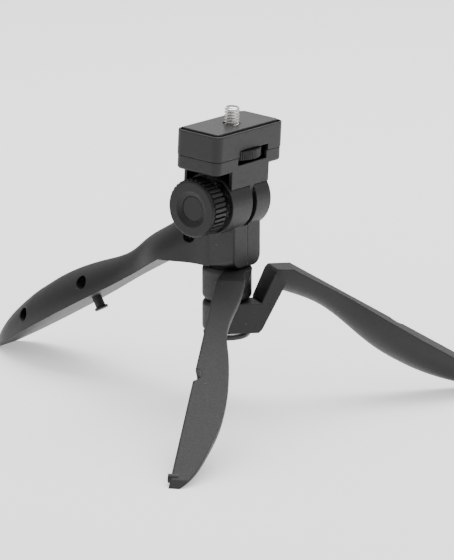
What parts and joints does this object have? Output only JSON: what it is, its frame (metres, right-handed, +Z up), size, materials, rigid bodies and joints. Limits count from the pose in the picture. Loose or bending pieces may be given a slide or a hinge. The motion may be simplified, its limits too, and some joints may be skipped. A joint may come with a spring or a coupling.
{
  "type": "tabletop tripod",
  "caption": "Folding tabletop tripod with one fixed leg, swing legs on a vertical pivot, a knob-locked tilting platform and a thumbwheel camera screw.",
  "frame": {"origin": "middle of the footprint on the floor the feet stand on", "axes": "+X away from the fixed leg, towards the side that the platform leans to; +Y along the tilt axis, away from the knob; +Z up"},
  "size_m": [0.2124, 0.1924, 0.1239],
  "materials": {
    "black_abs": "fine spark-eroded texture",
    "leg_abs": "fine spark-eroded texture",
    "knob_abs": "satin moulded",
    "pad_rubber": "smooth flat rubber",
    "nickel_steel": "bright nickel plated",
    "zinc_steel": "zinc plated",
    "black_acetal": "satin",
    "fibre": "pressed fibre"
  },
  "bodies": {
    "body": {"body_left_half": "black_abs", "body_right_half": "black_abs", "body_screws": "zinc_steel", "latch_peg": "black_acetal", "pivot_nut": "zinc_steel", "pivot_bolt": "zinc_steel", "pivot_cap": "black_acetal", "spring_washer": "zinc_steel", "hub_washers": "black_acetal", "tilt_nut": "zinc_steel", "tilt_washer": "zinc_steel", "friction_washers": "fibre"},
    "knob": {"tilt_knob": "knob_abs", "knob_cap": "knob_abs", "tilt_bolt": "zinc_steel"},
    "platform": {"platform_lower": "black_abs", "platform_upper": "black_abs", "camera_pad": "pad_rubber", "platform_screws": "zinc_steel"},
    "wheel": {"thumbwheel": "knob_abs", "camera_screw": "nickel_steel"},
    "front_leg": {"front_leg": "leg_abs"},
    "right_leg": {"right_leg": "leg_abs"}
  },
  "joints": [
    {"name": "front_leg_swing", "type": "hinge", "parent": "body", "child": "front_leg", "pos_m": [0.01841, 0.01043, 0.0495], "axis": [0, 0, 1], "range_deg": [-117.6, 0]},
    {"name": "right_leg_swing", "type": "hinge", "parent": "body", "child": "right_leg", "pos_m": [0.01841, 0.01043, 0.0355], "axis": [0, 0, 1], "range_deg": [0, 134.5]},
    {"name": "platform_tilt", "type": "hinge", "parent": "body", "child": "platform", "pos_m": [0.02101, 0.01043, 0.08513], "axis": [0, 1, 0], "range_deg": [-55, 72]},
    {"name": "knob_turn", "type": "hinge", "parent": "body", "child": "knob", "pos_m": [0.02101, 0.01043, 0.08513], "axis": [0, 1, 0], "continuous": true},
    {"name": "thumbwheel_turn", "type": "hinge", "parent": "platform", "child": "wheel", "pos_m": [0.02278, 0.00713, 0.10606], "axis": [0.0558, 0, 0.9984], "continuous": true}
  ]
}
